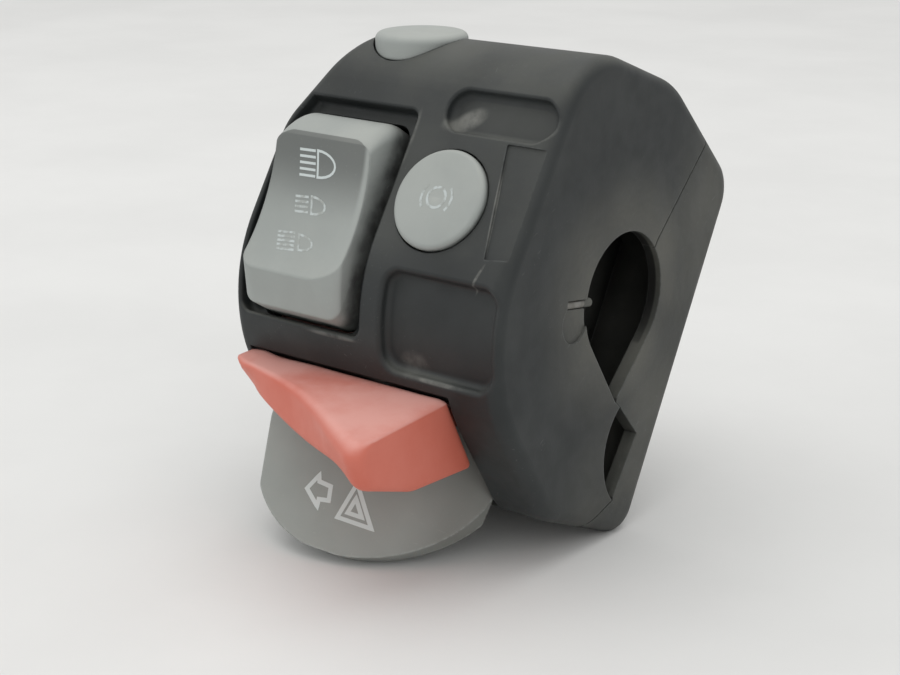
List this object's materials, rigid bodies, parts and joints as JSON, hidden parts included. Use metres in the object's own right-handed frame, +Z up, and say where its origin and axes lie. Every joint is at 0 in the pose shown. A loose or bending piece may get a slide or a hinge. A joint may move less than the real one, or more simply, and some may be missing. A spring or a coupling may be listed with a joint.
{
  "type": "handlebar switch cluster",
  "caption": "Two-part moulded switch housing that clamps on the left end of a motorcycle handlebar, with a dip rocker, push buttons, a horn lever and a turn signal lever.",
  "frame": {"origin": "centre of the handlebar's bore at the housing's inboard end face", "axes": "+X along the bar towards the middle of the motorcycle, +Z up as mounted, -Y towards the rider"},
  "size_m": [0.055, 0.0881, 0.0833],
  "materials": {
    "housing_plastic": "satin, worn",
    "button_plastic": "satin, worn",
    "horn_plastic": "satin, faded",
    "turn_plastic": "satin, worn",
    "black_nylon": "matte",
    "board_laminate": "satin",
    "plated_steel": "zinc plated",
    "spring_steel": "drawn",
    "brass": "turned"
  },
  "bodies": {
    "housing": {"main_housing": "housing_plastic", "rear_cover": "housing_plastic", "cover_screws": "plated_steel", "screw_inserts": "brass", "locating_peg": "plated_steel", "switch_carrier": "black_nylon", "carrier_screws": "plated_steel", "contact_board": "board_laminate", "board_screws": "plated_steel", "fixed_contacts": "brass", "terminal_block": "black_nylon", "top_button_switch": "black_nylon", "horn_switch": "black_nylon", "turn_switch": "black_nylon", "main_beam_switch": "black_nylon", "flash_switch": "black_nylon", "rocker_pin": "plated_steel", "detent_leaf": "spring_steel", "horn_pin": "plated_steel", "turn_pin": "plated_steel", "round_button_spring": "spring_steel", "top_button_spring": "spring_steel", "horn_spring": "spring_steel", "turn_spring": "spring_steel"},
    "dip_rocker": {"dip_rocker": "button_plastic"},
    "round_button": {"round_button": "button_plastic", "contact_bridge": "brass"},
    "top_button": {"top_button": "button_plastic", "stem_clip": "plated_steel"},
    "horn_lever": {"horn_lever": "horn_plastic"},
    "turn_lever": {"turn_lever": "turn_plastic"}
  },
  "joints": [
    {"name": "dip_rocker_tilt", "type": "hinge", "parent": "housing", "child": "dip_rocker", "pos_m": [-0.04045, -0.02422, 0.01034], "axis": [1, 0, 0], "range_deg": [-7, 7]},
    {"name": "round_button_press", "type": "slide", "parent": "housing", "child": "round_button", "axis": [0, 0.8453, -0.5344], "range_m": [0, 0.002], "stiffness_N_per_m": 400, "springref_m": -0.002, "deforming": ["round_button_spring"]},
    {"name": "top_button_press", "type": "slide", "parent": "housing", "child": "top_button", "axis": [0, 0, -1], "range_m": [0, 0.002], "stiffness_N_per_m": 400, "springref_m": -0.002, "deforming": ["top_button_spring"]},
    {"name": "horn_lever_press", "type": "hinge", "parent": "housing", "child": "horn_lever", "pos_m": [-0.03125, -0.02571, -0.00812], "axis": [1, 0, 0], "range_deg": [0, 6], "stiffness_Nm_per_rad": 0.6, "springref_deg": -8.59, "deforming": ["horn_spring"]},
    {"name": "turn_lever_press", "type": "hinge", "parent": "housing", "child": "turn_lever", "pos_m": [-0.03125, -0.01629, -0.01454], "axis": [1, 0, 0], "range_deg": [0, 6], "stiffness_Nm_per_rad": 0.6, "springref_deg": -8.59, "deforming": ["turn_spring"]}
  ]
}
